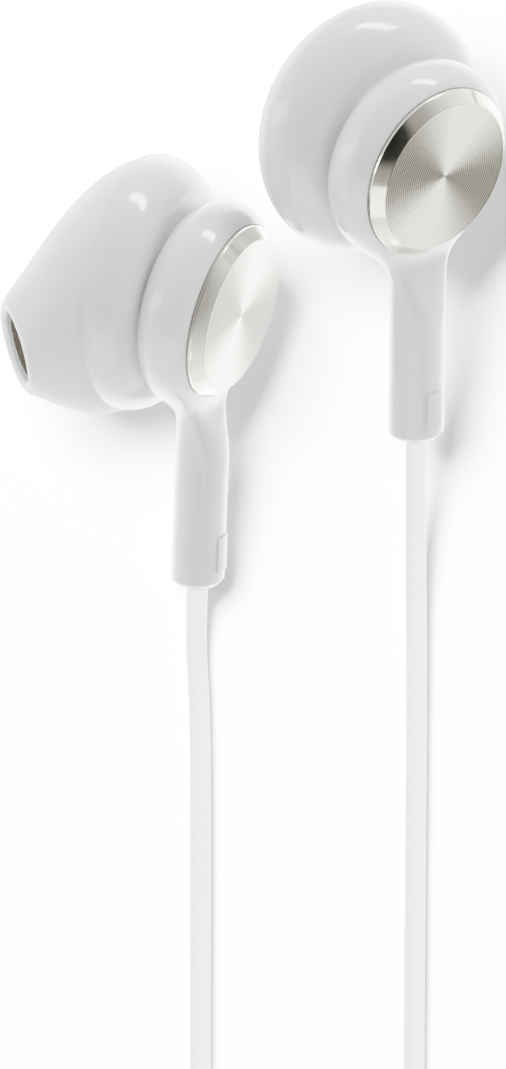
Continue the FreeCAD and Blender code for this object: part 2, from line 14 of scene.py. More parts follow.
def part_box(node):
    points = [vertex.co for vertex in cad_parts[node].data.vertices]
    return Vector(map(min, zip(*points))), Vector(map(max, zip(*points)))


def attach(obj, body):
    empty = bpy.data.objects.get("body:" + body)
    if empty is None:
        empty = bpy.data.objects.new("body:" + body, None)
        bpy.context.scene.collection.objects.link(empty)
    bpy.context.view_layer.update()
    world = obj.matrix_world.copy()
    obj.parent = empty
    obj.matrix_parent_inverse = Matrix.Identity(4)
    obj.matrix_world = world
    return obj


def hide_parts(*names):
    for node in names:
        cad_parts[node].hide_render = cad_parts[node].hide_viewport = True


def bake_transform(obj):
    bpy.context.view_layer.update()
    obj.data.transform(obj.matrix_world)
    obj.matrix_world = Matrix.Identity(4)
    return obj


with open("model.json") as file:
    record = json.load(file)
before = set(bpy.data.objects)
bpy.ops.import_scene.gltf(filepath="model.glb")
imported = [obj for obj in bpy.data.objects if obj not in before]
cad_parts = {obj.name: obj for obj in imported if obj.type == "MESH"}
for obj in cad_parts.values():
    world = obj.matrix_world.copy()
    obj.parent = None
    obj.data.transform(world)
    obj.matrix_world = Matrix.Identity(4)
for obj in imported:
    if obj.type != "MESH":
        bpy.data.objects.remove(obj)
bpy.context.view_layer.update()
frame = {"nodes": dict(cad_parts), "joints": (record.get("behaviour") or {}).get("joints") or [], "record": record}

MM = 0.001
SIDES = {"left": -1, "right": 1}
mounts = {mount["name"]: mount for mount in frame["record"]["mounts"]}
joints = {joint["name"]: joint for joint in frame["joints"]}

# Sizes shared with the CAD model, in millimetres and degrees. STEM_CURVE is the power of the stem's
# forward curve.
DISC_RADIUS = 5.8
DISC_FLAT = 5.1
DISC_PROUD = 0.65
PUCK_RADIUS = 6.85
PUCK_DEPTH = 4.2
PUCK_ROUND = 2.05
BULB_BACK = 6.7
BULB_TILT = 8.0
BULB_RADIUS = 8.35
BULB_DEPTH = 2.85
BULB_ROUND = 2.75
BULB_WALL = 1.05
NECK_RADIUS = 4.2
SLEEVE_WALL = 0.7
BULB_TURN = {"left": 0.0, "right": -5.0}
BULB_LIFT = {"left": 0.0, "right": 0.4}
STEM_LENGTH = 19.15
STEM_HALF = 1.9
STEM_THICK = 1.7
STEM_BACK = 1.55
STEM_LEAN = 1.85
STEM_CURVE = 1.2
STEM_BEVEL = 0.35
CORD_RADIUS = 0.675
BAND_HALF = 3.0
BAND_RISE = 2.1
BAND_HEIGHT = 2.15
BAND_FIXED = 12.0
BAND_COLLAR = 99.0

# Long and short side of the soft sleeve in a bud's xz plane, as control points of two curves. They are for
# the right bud; the left bud's x is mirrored.
HORN_LONG = ((-8.35, -6.70), (-7.40, -11.50), (5.75, -13.45))
HORN_SHORT = ((8.35, -6.70), (9.50, -7.90), (10.15, -9.10))

# How far the sleeve runs down toward the stem, its rise half way, and the dip of its first and last ring.
HORN_DROP = 3.5
HORN_RISE = 0.2
HORN_DIP = (8.0, 17.0)

# Depth of the disc in its seat, rounding of its edges, and the dark ring in the gap round it, which is a painted
# shadow.
DISC_SINK = 0.8
DISC_EDGE = 0.06
SHADOW_RING_OUT = 0.02
SHADOW_RING_SINK = 0.24
SHADOW_RING_THICK = 0.055

# The disc's turning grooves: radius where they start inward, pitch, depth, and profile points for each.
GROOVE_START = 4.96
GROOVE_PITCH = 0.182
GROOVE_DEPTH = 0.01
GROOVE_STEPS = 8

# The disc's painted tones: direction, sharpness and streaks of its two bright fans, which are a painted
# reflection, its lines, darker at each groove's bottom, and its rim.
REFLECTION_FAN_ANGLE = 66.0
REFLECTION_FAN_SHARPNESS = 1.7
REFLECTION_FAN_STREAKS = 5.0
REFLECTION_FAN_RANGE = (0.8, 1.5)
LINE_TONE = 0.28
RIM_TONE = 0.85
RIM_ROUGH = 0.07

# The stem's flare toward the rear housing: extra half width, where it starts to narrow, how far it reaches
# and how sudden it is.
FLARE_HALF = 2.25
FLARE_START = 2.4
FLARE_REACH = 4.15
FLARE_POWER = 2.6

# The slope that keeps the stem's front low beside the disc: its depth there, where it rises, how far
# along the stem, how high, and how softly it meets the stem.
FRONT_SINK = 0.62
FRONT_CLEAR = 5.7
FRONT_RUN = 8.5
FRONT_RISE = 3.6
FRONT_BLEND = 0.8

# Where the stem's own shape ends inside the rear housing, and the hollow fillet between the two.
STEM_TOP = 1.0
REAR_FILLET = 1.1

# Grid on which the surface of the rear housing and stem is found.
SKIN_LOW = (-7.4, -20.2, -4.8)
SKIN_HIGH = (7.4, 7.4, 2.5)
SKIN_STEP = 0.13

# The back of the driver housing: height of the neck over it, hollow fillet at the neck's foot, where the
# neck's side ends, rounded lip at the widest ring, and the edge of the inner wall.
NECK_TOP = 1.0
NECK_FILLET = 0.4
NECK_FOOT = 0.45
BULB_LIP = 0.12
BULB_LIP_LIFT = 0.10
BULB_INSIDE = 0.5

# The sleeve's ends: rolled rim and tucked lining at the driver housing, rounded lip round the opening.
SLEEVE_RIM = 0.14
SLEEVE_TUCK = 0.1
LIP_BACK = 0.28
LIP_REACH = 0.3
LIP_START = 0.985

# The sound mesh: its radius, its back and front below the sleeve's opening, and the rise of its dome.
MESH_RADIUS = 2.3
MESH_BACK = 1.3
MESH_SINK = 0.5
MESH_DOME = 0.3

# The band's sleeve: degrees between its rings, height of its mould line, and the line's half width as a
# share of the sleeve's half height.
BAND_STEP = 0.5
BAND_RIDGE = 0.05
BAND_RIDGE_WIDTH = 0.05

# Patches per metre of the cloudiness in moulded colours and of the grain in metal.
CLOUD_PATCHES = 160.0
METAL_PATCHES = 2500.0

# Control points of the two cords' centre lines, from the stem's tip to the pod.
CORD_POINTS = {
    "left": (
        (-3.64, 3.99, 1.83), (-3.73, 1.39, 0.79), (-3.45, -2.40, 0.71), (-3.38, -11.40, 0.70),
        (-3.45, -29.40, 0.70), (-3.30, -58.00, 0.70), (-6.00, -79.50, 0.70), (-14.00, -96.00, 0.70),
        (-27.50, -102.50, 0.72), (-40.50, -97.00, 0.80), (-47.30, -84.50, 1.25), (-49.10, -71.57, 1.85),
    ),
    "right": (
        (10.54, 13.52, 4.36), (10.53, 7.53, 1.60), (10.62, -2.50, 0.71), (10.50, -15.00, 0.70),
        (10.35, -38.00, 0.70), (10.60, -64.00, 0.70), (13.30, -81.00, 0.70), (20.50, -93.00, 0.70),
        (31.00, -97.50, 0.72), (41.30, -93.00, 0.80), (47.20, -83.30, 1.25), (49.10, -71.57, 1.85),
    ),
}

# Height and middle of the view, camera height over the level where they hold, and that level, in metres.
VIEW_HEIGHT = 0.0690
VIEW_CENTRE = (0.0, 0.0085)
CAMERA_HEIGHT = 1.15
VIEW_LEVEL = 0.006

# Soft boxes: name, place and size in metres, power, and whether gloss mirrors it.
TABLE_LIGHT = ("table", (-0.36, 0.33, 0.95), (0.5, 0.45), 200.0, False)
CORD_LIGHT = ("cords", (0.22, 0.0, 1.0), (0.3, 0.3), 66.0, False)
BODY_LIGHTS = (
    ("overhead", (-0.30, 0.22, 1.0), (0.75, 0.75), 15.0, False),
    ("strip", (0.50, 0.78, 0.30), (0.7, 0.14), 20.0, True),
    ("card", (0.0, -0.80, 0.42), (0.9, 0.55), 6.0, True),
    ("side", (-0.95, 0.10, 0.36), (0.3, 0.8), 6.0, True),
)

# The room's strength, and its tone at heights from straight below, -1, to straight above, 1. The first two
# heights are the ramp's own two stops.
ROOM_LIGHT = 18.0
ROOM_TONES = (
    (-1.0, 0.45), (1.0, 0.001), (-0.85, 0.95), (-0.35, 0.27), (0.0, 0.16),
    (0.2, 0.13), (0.45, 0.075), (0.66, 0.035), (0.85, 0.025), (0.93, 0.003),
)


# ---------------------------------------------------------------- camera and cords

def make_camera():
    """Camera straight above the buds, upright with +Y, far enough away to look almost flat."""
    data = bpy.data.cameras.new("camera")
    data.sensor_width = 36.0
    data.lens = data.sensor_width * CAMERA_HEIGHT / VIEW_HEIGHT
    camera = bpy.data.objects.new("camera", data)
    camera.location = (VIEW_CENTRE[0], VIEW_CENTRE[1], CAMERA_HEIGHT + VIEW_LEVEL)
    bpy.context.scene.collection.objects.link(camera)
    bpy.context.scene.camera = camera


def make_cord(side, material):
    """Ear cord as one smooth tube along its control points."""
    curve = bpy.data.curves.new("ear_cord_" + side, "CURVE")
    curve.dimensions = "3D"
    spline = curve.splines.new("NURBS")
    points = CORD_POINTS[side]
    spline.points.add(len(points) - 1)
    for point, spot in zip(spline.points, points):
        point.co = (*(number * MM for number in spot), 1.0)
    spline.order_u = 3
    spline.use_endpoint_u = True
    spline.resolution_u = 16
    curve.bevel_depth = CORD_RADIUS * MM
    curve.bevel_resolution = 8
    curve.use_fill_caps = True
    curve.materials.append(material)
    cord = bpy.data.objects.new("ear_cord_" + side, curve)
    bpy.context.scene.collection.objects.link(cord)
    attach(cord, "arm_" + side)
    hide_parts("cord_" + side)


# ---------------------------------------------------------------- materials

def new_material(name, colour, rough, metal=0.0, **sockets):
    """Principled material with plain values, its node tree, its shader and its object coordinates."""
    material = bpy.data.materials.new(name)
    material.use_nodes = True
    tree = material.node_tree
    shader = tree.nodes["Principled BSDF"]
    shader.inputs["Base Color"].default_value = (*colour, 1.0)
    shader.inputs["Roughness"].default_value = rough
    shader.inputs["Metallic"].default_value = metal
    shader.inputs["Subsurface Radius"].default_value = (1.0, 1.0, 1.0)
    for socket, value in sockets.items():
        shader.inputs[socket.replace("_", " ")].default_value = value
    coords = tree.nodes.new("ShaderNodeTexCoord")
    return material, tree, shader, coords.outputs["Object"]


def add_noise(tree, coords, scale, detail=3.0):
    """Noise at so many patches per metre."""
    noise = tree.nodes.new("ShaderNodeTexNoise")
    noise.inputs["Scale"].default_value = scale
    noise.inputs["Detail"].default_value = detail
    tree.links.new(coords, noise.inputs["Vector"])
    return noise.outputs["Fac"]


def add_range(tree, source, low, high):
    """Source from 0 to 1 stretched to a range."""
    node = tree.nodes.new("ShaderNodeMapRange")
    node.inputs["To Min"].default_value = low
    node.inputs["To Max"].default_value = high
    tree.links.new(source, node.inputs["Value"])
    return node.outputs["Result"]


def add_tint(tree, source, first, second):
    """Colour between two colours by a value from 0 to 1."""
    ramp = tree.nodes.new("ShaderNodeValToRGB")
    ramp.color_ramp.elements[0].color = (*first, 1.0)
    ramp.color_ramp.elements[1].color = (*second, 1.0)
    ramp.color_ramp.elements[0].position = 0.3
    ramp.color_ramp.elements[1].position = 0.7
    tree.links.new(source, ramp.inputs["Fac"])
    return ramp.outputs["Color"]


def add_bump(tree, shader, source, depth, strength=1.0):
    """Relief of so many metres on a shader."""
    bump = tree.nodes.new("ShaderNodeBump")
    bump.inputs["Distance"].default_value = depth
    bump.inputs["Strength"].default_value = strength
    tree.links.new(source, bump.inputs["Height"])
    tree.links.new(bump.outputs["Normal"], shader.inputs["Normal"])


def moulded(name, first, second, rough, scale, depth, **sockets):
    """Moulded material: faint cloudiness in its colour, uneven gloss and a fine skin."""
    material, tree, shader, coords = new_material(name, first, rough[0], **sockets)
    cloud = add_noise(tree, coords, CLOUD_PATCHES)
    tree.links.new(add_tint(tree, cloud, first, second), shader.inputs["Base Color"])
    patches = add_noise(tree, coords, scale * 0.3)
    tree.links.new(add_range(tree, patches, *rough), shader.inputs["Roughness"])
    add_bump(tree, shader, add_noise(tree, coords, scale, 4.0), depth)
    return material


def add_math(tree, operation, first, second=0.0):
    """Result of a sum on two outputs or numbers."""
    node = tree.nodes.new("ShaderNodeMath")
    node.operation = operation
    for socket, value in zip(node.inputs, (first, second)):
        if isinstance(value, float):
            socket.default_value = value
        else:
            tree.links.new(value, socket)
    return node.outputs["Value"]


def brushed_metal(name, colour, rough):
    """Bare metal, brushed round the piece's own z axis."""
    material, tree, shader, coords = new_material(name, colour, rough, metal=1.0, Anisotropic=0.75)
    tangent = tree.nodes.new("ShaderNodeTangent")
    tangent.direction_type = "RADIAL"
    tangent.axis = "Z"
    tree.links.new(tangent.outputs["Tangent"], shader.inputs["Tangent"])
    return material, tree, shader, coords


def turned_metal(name, colour, rough):
    """Turned metal with a fine grain in its gloss."""
    material, tree, shader, coords = brushed_metal(name, colour, rough)
    grain = add_noise(tree, coords, METAL_PATCHES)
    tree.links.new(add_range(tree, grain, rough * 0.8, rough * 1.25), shader.inputs["Roughness"])
    return material


def polar_coords(tree, coords):
    """Distance from the piece's z axis, in metres, and the angle round it."""
    flat = tree.nodes.new("ShaderNodeVectorMath")
    flat.operation = "MULTIPLY"
    flat.inputs[1].default_value = (1.0, 1.0, 0.0)
    tree.links.new(coords, flat.inputs[0])
    reach = tree.nodes.new("ShaderNodeVectorMath")
    reach.operation = "LENGTH"
    tree.links.new(flat.outputs["Vector"], reach.inputs[0])
    parts = tree.nodes.new("ShaderNodeSeparateXYZ")
    tree.links.new(coords, parts.inputs["Vector"])
    angle = add_math(tree, "ARCTAN2", parts.outputs["Y"], parts.outputs["X"])
    return reach.outputs["Value"], angle


def painted_reflection_fans(tree, angle):
    """Tone of two opposite bright fans, streaky, at most 1: a painted reflection, with painted shade between the
    fans.
    """
    swing = add_math(tree, "SUBTRACT", angle, math.radians(REFLECTION_FAN_ANGLE))
    cosine = add_math(tree, "COSINE", add_math(tree, "MULTIPLY", swing, 2.0))
    share = add_math(tree, "ADD", add_math(tree, "MULTIPLY", cosine, 0.5), 0.5)
    fans = add_math(tree, "POWER", share, REFLECTION_FAN_SHARPNESS)
    streaks = tree.nodes.new("ShaderNodeTexNoise")
    streaks.noise_dimensions = "1D"
    streaks.inputs["Scale"].default_value = REFLECTION_FAN_STREAKS
    tree.links.new(angle, streaks.inputs["W"])
    fans = add_math(tree, "MULTIPLY", fans, add_range(tree, streaks.outputs["Fac"], *REFLECTION_FAN_RANGE))
    return add_math(tree, "MINIMUM", fans, 1.0)


def groove_bottom_tone(tree, radius):
    """Tone darker at the bottom of each groove: one darker line for each groove."""
    phase = add_math(tree, "MULTIPLY", radius, 2 * math.pi / (GROOVE_PITCH * MM))
    start = add_math(tree, "SUBTRACT", phase, 2 * math.pi * GROOVE_START / GROOVE_PITCH)
    crest = add_math(tree, "COSINE", start)
    return add_math(tree, "ADD", add_math(tree, "MULTIPLY", crest, LINE_TONE), 1 - LINE_TONE)


def spun_metal(name, dark, bright, rough):
    """Metal spun on a lathe: two bright fans of painted reflection with painted shade between them, across lines
    darker at each groove's bottom, and a polished bevel.
    """
    material, tree, shader, coords = brushed_metal(name, bright, rough)
    radius, angle = polar_coords(tree, coords)
    # Painted reflection: the base colour runs from the dark tone, painted shade, to the bright tone in the fans.
    face_tone = add_math(tree, "MULTIPLY", painted_reflection_fans(tree, angle), groove_bottom_tone(tree, radius))
    rim = add_math(tree, "GREATER_THAN", radius, (DISC_FLAT + 0.01) * MM)
    tone = add_math(tree, "MAXIMUM", face_tone, add_math(tree, "MULTIPLY", rim, RIM_TONE))
    mix = add_tint(tree, tone, dark, bright)
    mix.node.color_ramp.elements[0].position = 0.0
    mix.node.color_ramp.elements[1].position = 1.0
    tree.links.new(mix, shader.inputs["Base Color"])
    uneven = add_range(tree, add_noise(tree, coords, METAL_PATCHES), rough * 0.8, rough * 1.3)
    polish = add_math(tree, "MULTIPLY", rim, rough - RIM_ROUGH)
    tree.links.new(add_math(tree, "SUBTRACT", uneven, polish), shader.inputs["Roughness"])
    return material


def woven_mesh(name):
    """Dark woven wire cloth."""
    material, tree, shader, coords = new_material(name, (0.02, 0.018, 0.016), 0.9, Specular_IOR_Level=0.0)
    heights = []
    for axis in "XY":
        wave = tree.nodes.new("ShaderNodeTexWave")
        wave.bands_direction = axis
        wave.inputs["Scale"].default_value = 900.0
        tree.links.new(coords, wave.inputs["Vector"])
        heights.append(wave.outputs["Fac"])
    weave = add_math(tree, "MAXIMUM", *heights)
    tint = add_tint(tree, weave, (0.004, 0.004, 0.004), (0.035, 0.03, 0.024))
    tree.links.new(tint, shader.inputs["Base Color"])
    add_bump(tree, shader, weave, 0.00006)
    return material


def plain_finish(name, colour, rough, metal=0.0, scale=3000.0, **sockets):
    """Small inner part's finish: a little uneven in gloss and relief."""
    material, tree, shader, coords = new_material(name, colour, rough, metal, **sockets)
    grain = add_noise(tree, coords, scale)
    tree.links.new(add_range(tree, grain, rough * 0.8, min(1.0, rough * 1.3)), shader.inputs["Roughness"])
    add_bump(tree, shader, grain, 0.00001)
    return material


def make_materials():
    """Every finish by the record's slot name."""
    return {
        "white_gloss": moulded(
            "white_gloss", (0.47, 0.47, 0.455), (0.50, 0.50, 0.485), (0.14, 0.2), 9000.0, 0.000002,
            Coat_Weight=0.6, Coat_Roughness=0.07, Subsurface_Weight=0.12, Subsurface_Scale=0.002),
        "white_silicone": moulded(
            "white_silicone", (0.49, 0.515, 0.52), (0.53, 0.55, 0.555), (0.4, 0.5), 16000.0, 0.000005,
            Subsurface_Weight=0.2, Subsurface_Scale=0.003, Sheen_Weight=0.15),
        "white_cord": moulded(
            "white_cord", (0.53, 0.53, 0.53), (0.57, 0.57, 0.57), (0.28, 0.36), 14000.0, 0.000004,
            Coat_Weight=0.15, Coat_Roughness=0.25),
        "band_silicone": moulded(
            "band_silicone", (0.50, 0.52, 0.53), (0.54, 0.56, 0.565), (0.42, 0.52), 14000.0, 0.000006,
            Subsurface_Weight=0.15, Subsurface_Scale=0.002, Sheen_Weight=0.15),
        "white_case": moulded(
            "white_case", (0.52, 0.52, 0.505), (0.55, 0.55, 0.54), (0.2, 0.28), 9000.0, 0.000003,
            Coat_Weight=0.3, Coat_Roughness=0.15),
        "button_white": moulded(
            "button_white", (0.45, 0.46, 0.46), (0.48, 0.49, 0.49), (0.38, 0.46), 12000.0, 0.000005),
        # The first colour is the painted shade between the disc's painted reflection fans.
        "aluminium_disc": spun_metal("aluminium_disc", (0.075, 0.072, 0.052), (0.98, 0.96, 0.80), 0.24),
        "collar_metal": turned_metal("collar_metal", (0.80, 0.77, 0.70), 0.16),
        "dark_mesh": woven_mesh("dark_mesh"),
        "spring_steel": plain_finish("spring_steel", (0.55, 0.55, 0.57), 0.3, 1.0),
        "magnet_nickel": plain_finish("magnet_nickel", (0.6, 0.58, 0.54), 0.18, 1.0),
        "driver_black": plain_finish("driver_black", (0.03, 0.03, 0.033), 0.5),
        "copper_coil": plain_finish("copper_coil", (0.72, 0.38, 0.2), 0.35, 1.0, 12000.0),
        "film": plain_finish("film", (0.6, 0.56, 0.45), 0.25),
        "board_green": plain_finish("board_green", (0.02, 0.16, 0.07), 0.35),
        "battery_foil": plain_finish("battery_foil", (0.5, 0.52, 0.55), 0.35, 1.0),
        "socket_steel": plain_finish("socket_steel", (0.6, 0.6, 0.62), 0.3, 1.0),
        "switch_black": plain_finish("switch_black", (0.035, 0.035, 0.038), 0.45),
        "lamp_clear": plain_finish("lamp_clear", (0.75, 0.85, 0.95), 0.3, Transmission_Weight=0.6),
        "gap_shadow": plain_finish("gap_shadow", (0.10, 0.095, 0.09), 0.5),
    }


# ---------------------------------------------------------------- shapes

def axes(first, second, third, base):
    """Frame whose axes point along three directions, based in metres."""
    matrix = Matrix.Identity(4)
    for column, vector in enumerate((first, second, third, base)):
        for row in range(3):
            matrix[row][column] = vector[row]
    return matrix


def shift(x, y, z):
    """Move by so many millimetres."""
    return Matrix.Translation(Vector((x, y, z)) * MM)


def bud_frame(side):
    """Frame of a bud: origin in the disc's rim plane, z out of the disc, y away from the stem."""
    mount = mounts["clasp_face_" + side]
    normal = Vector(mount["axis"]).normalized()
    centre = Vector(mount["pos_m"]) - normal * (DISC_PROUD * MM)
    stem = Vector(joints["bud_%s_lift" % side]["pos_m"]) - centre
    upward = -(stem - normal * stem.dot(normal)).normalized()
    return axes(upward.cross(normal), upward, normal, centre)


def turned_frame(side):
    """Frame of a bud turned about the middle of its driver housing, for what lies behind the neck."""
    turn = Matrix.Rotation(math.radians(BULB_TURN[side]), 4, "Y")
    return bud_frame(side) @ shift(0, BULB_LIFT[side], -BULB_BACK) @ turn @ shift(0, 0, BULB_BACK)


def bulb_frame(side):
    """Frame of the driver housing: z toward the disc from the widest ring."""
    tilt = Matrix.Rotation(-math.radians(BULB_TILT), 4, "X")
    return turned_frame(side) @ shift(0, 0, -BULB_BACK) @ tilt


def piece(name, points, faces, place, material, body, sharp=None, normals=None):
    """Smooth mesh from points in millimetres in a frame, riding on a body."""
    mesh = bpy.data.meshes.new(name)
    mesh.from_pydata([tuple(point) for point in np.asarray(points) * MM], [], faces)
    mesh.validate()
    mesh.shade_smooth()
    if sharp:
        mesh.set_sharp_from_angle(angle=math.radians(sharp))
    if normals is not None:
        mesh.normals_split_custom_set_from_vertices([tuple(normal) for normal in normals])
    mesh.materials.append(material)
    thing = bpy.data.objects.new(name, mesh)
    thing.matrix_world = place
    bpy.context.scene.collection.objects.link(thing)
    if body:
        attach(thing, body)
    return thing


def ring_faces(rings, around):
    """Quads between neighbouring rings of points, and no caps."""
    faces = []
    for ring in range(rings - 1):
        for index in range(around):
            after = (index + 1) % around
            faces.append((ring * around + index, ring * around + after,
                          (ring + 1) * around + after, (ring + 1) * around + index))
    return faces


def turned(profile, around=192):
    """Points and faces of a profile of radius and height, turned about z.

    The outside shows when the profile runs down the outside and up the inside.
    """
    profile = np.asarray(profile, float)
    angle = np.linspace(0.0, 2 * math.pi, around, endpoint=False)
    points = np.empty((len(profile), around, 3))
    points[..., 0] = np.outer(profile[:, 0], np.cos(angle))
    points[..., 1] = np.outer(profile[:, 0], np.sin(angle))
    points[..., 2] = profile[:, 1:2]
    faces = [face[::-1] for face in ring_faces(len(profile), around)]
    return points.reshape(-1, 3), faces


def arc(centre, radius, start, finish, count=12):
    """Points of an arc in the profile plane, in degrees."""
    angles = np.radians(np.linspace(start, finish, count))
    return [(centre[0] + radius * math.cos(a), centre[1] + radius * math.sin(a)) for a in angles]


def stem_half_width(distance):
    """Half width of the stem, wide where it leaves the rear housing."""
    past = np.maximum(distance - FLARE_START, 0.0) / FLARE_REACH
    return STEM_HALF + FLARE_HALF * np.exp(-past ** FLARE_POWER)


def puck_distance(x, y, z):
    """Signed distance to the rounded rear housing."""
    out = np.sqrt(x * x + y * y) - PUCK_RADIUS + PUCK_ROUND
    high = np.abs(z + PUCK_DEPTH / 2) - PUCK_DEPTH / 2 + PUCK_ROUND
    rim = np.sqrt(np.maximum(out, 0) ** 2 + np.maximum(high, 0) ** 2)
    return rim + np.minimum(np.maximum(out, high), 0) - PUCK_ROUND


def front_limit(along, z):
    """Height above the slope that keeps the stem's front low beside the disc."""
    rise = np.clip((along - FRONT_CLEAR) / FRONT_RUN, 0, 1)
    return z + FRONT_SINK - FRONT_RISE * rise * rise * (3 - 2 * rise)


def stem_distance(x, y, z):
    """Signed distance to the oval stem with its bevelled tip and its front low beside the disc."""
    along = np.clip(-y, 0.0, STEM_LENGTH + 2)
    middle = STEM_LEAN * (along / STEM_LENGTH) ** STEM_CURVE - STEM_BACK
    wide = stem_half_width(along)
    reach = np.sqrt((x / wide) ** 2 + ((z - middle) / STEM_THICK) ** 2)
    slope = np.sqrt((x / wide ** 2) ** 2 + ((z - middle) / STEM_THICK ** 2) ** 2)
    side = (reach - 1) * reach / np.maximum(slope, 0.05)
    lean = STEM_LEAN * STEM_CURVE / STEM_LENGTH
    end = (-(y + STEM_LENGTH) + lean * (z - STEM_LEAN + STEM_BACK)) / math.hypot(1, lean)
    bevel = (side + end + STEM_BEVEL) / math.sqrt(2)
    front = front_limit(along, z)
    share = np.clip(0.5 + 0.5 * (front - side) / FRONT_BLEND, 0, 1)
    side = side + (front - side) * share + FRONT_BLEND * share * (1 - share)
    return np.maximum(np.maximum(np.maximum(side, end), bevel), y - STEM_TOP)


def rear_distance(points):
    """Signed distance to the rear housing and stem, with a hollow fillet between them."""
    x, y, z = points[..., 0], points[..., 1], points[..., 2]
    puck = puck_distance(x, y, z)
    stem = stem_distance(x, y, z)
    share = np.clip(0.5 + 0.5 * (stem - puck) / REAR_FILLET, 0, 1)
    return stem + (puck - stem) * share - REAR_FILLET * share * (1 - share)


def gradient(distance, points, step=0.01):
    """Direction in which a signed distance grows."""
    slopes = []
    for axis in range(3):
        offset = np.zeros(3)
        offset[axis] = step
        slopes.append((distance(points + offset) - distance(points - offset)) / (2 * step))
    return np.stack(slopes, axis=-1)


def crossed_cells(inside):
    """Which cells of a grid have some corners inside and some outside."""
    corners = np.zeros([length - 1 for length in inside.shape], int)
    nx, ny, nz = corners.shape
    for i in (0, 1):
        for j in (0, 1):
            for k in (0, 1):
                corners += inside[i:i + nx, j:j + ny, k:k + nz]
    return (corners > 0) & (corners < 8)


def pulled_to_zero(distance, points, step):
    """Points moved in a few steps to where a signed distance is zero."""
    for _ in range(6):
        slope = gradient(distance, points)
        length = np.maximum((slope ** 2).sum(-1), 0.05)
        move = slope * (distance(points) / length)[:, None]
        points = points - np.clip(move, -step, step)
    return points


def crossing_quads(inside, number):
    """Quads between the numbered cells round each grid edge with one end inside."""
    quads = []
    for axis in range(3):
        order = (axis, (axis + 1) % 3, (axis + 2) % 3)
        before = np.moveaxis(inside, order, (0, 1, 2))
        cells = np.moveaxis(number, order, (0, 1, 2))
        leaving = before[:-1, 1:-1, 1:-1] & ~before[1:, 1:-1, 1:-1]
        entering = ~before[:-1, 1:-1, 1:-1] & before[1:, 1:-1, 1:-1]
        loop = [cells[:, :-1, :-1], cells[:, 1:, :-1], cells[:, 1:, 1:], cells[:, :-1, 1:]]
        quads.append(np.stack([corner[leaving] for corner in loop], -1))
        quads.append(np.stack([corner[entering] for corner in loop[::-1]], -1))
    return np.concatenate(quads).tolist()


def skin(distance, low, high, step):
    """Points, quads and normals of the surface where a signed distance is zero."""
    spans = [np.arange(a, b, step) for a, b in zip(low, high)]
    grid = np.stack(np.meshgrid(*spans, indexing="ij"), axis=-1)
    inside = distance(grid) < 0
    crossed = crossed_cells(inside)
    number = np.full(crossed.shape, -1)
    number[crossed] = np.arange(crossed.sum())
    middles = grid[:-1, :-1, :-1][crossed] + step / 2
    points = pulled_to_zero(distance, middles, step)
    slope = gradient(distance, points)
    normals = slope / np.linalg.norm(slope, axis=-1, keepdims=True)
    return points, crossing_quads(inside, number), normals


# ---------------------------------------------------------------- buds

def make_rear_case(side, finish, shape):
    """Rear housing and stem as one smooth moulding."""
    points, faces, normals = shape
    case = piece("rear_case_" + side, points, faces, bud_frame(side), finish["white_gloss"],
                 "bud_" + side, normals=normals)
    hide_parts("rear_shell_" + side, "cord_bush_" + side)


def disc_profile():
    """Radius and height over the disc, from the middle of its back to the middle of its grooved face."""
    profile = [(0.0, -DISC_SINK), (DISC_RADIUS, -DISC_SINK)]
    profile += arc((DISC_RADIUS - DISC_EDGE, -DISC_EDGE), DISC_EDGE, 0, 48, 5)
    profile += arc((DISC_FLAT - DISC_EDGE / 2, DISC_PROUD - DISC_EDGE), DISC_EDGE, 45, 90, 5)
    for step in range(1, int(GROOVE_START / GROOVE_PITCH) * GROOVE_STEPS):
        radius = GROOVE_START - step * GROOVE_PITCH / GROOVE_STEPS
        wave = 0.5 - 0.5 * math.cos(2 * math.pi * step / GROOVE_STEPS)
        profile.append((radius, DISC_PROUD - GROOVE_DEPTH * wave))
    profile.append((0.0, DISC_PROUD))
    return profile


def make_disc(side, finish):
    """Turned metal disc: bevelled rim, a face of fine concentric grooves, and a dark ring round it as painted
    shadow in the gap.
    """
    points, faces = turned(disc_profile()[::-1], 384)
    disc = piece("turned_disc_" + side, points, faces, bud_frame(side), finish["aluminium_disc"],
                 "bud_" + side, sharp=32)
    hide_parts("cap_disc_" + side)
    # Dark ring in the gap round the disc: painted shadow.
    ring = arc((DISC_RADIUS + SHADOW_RING_OUT, -SHADOW_RING_SINK), SHADOW_RING_THICK, 0, 360, 12)
    points, faces = turned(ring)
    piece("disc_gap_shadow_" + side, points, faces, bud_frame(side), finish["gap_shadow"],
          "bud_" + side)


def make_dome(side, finish):
    """Back of the driver housing with its neck."""
    edge = BULB_RADIUS - BULB_ROUND
    inner = BULB_RADIUS - BULB_WALL
    top = BULB_DEPTH + NECK_TOP
    profile = [(0.0, top), (NECK_RADIUS, top), (NECK_RADIUS, BULB_DEPTH + NECK_FOOT)]
    profile += arc((NECK_RADIUS + NECK_FILLET, BULB_DEPTH + NECK_FILLET), NECK_FILLET, 180, 270, 7)
    profile += arc((edge, BULB_DEPTH - BULB_ROUND), BULB_ROUND, 90, 0, 28)
    profile += arc((BULB_RADIUS - BULB_LIP, BULB_LIP_LIFT), BULB_LIP, 0, -90, 6)
    profile += [(inner, BULB_LIP_LIFT - BULB_LIP), (inner, BULB_INSIDE)]
    points, faces = turned(profile, 224)
    dome = piece("dome_" + side, points, faces, bulb_frame(side), finish["white_gloss"],
                 "bud_" + side, sharp=60)
    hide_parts("dome_shell_" + side)


def on_curve(controls, step):
    """Point of a curve with three control points at a step from 0 to 1."""
    first, second, third = (np.array((x, 0.0, z)) for x, z in controls)
    return first * (1 - step) ** 2 + second * (2 * (1 - step) * step) + third * step ** 2


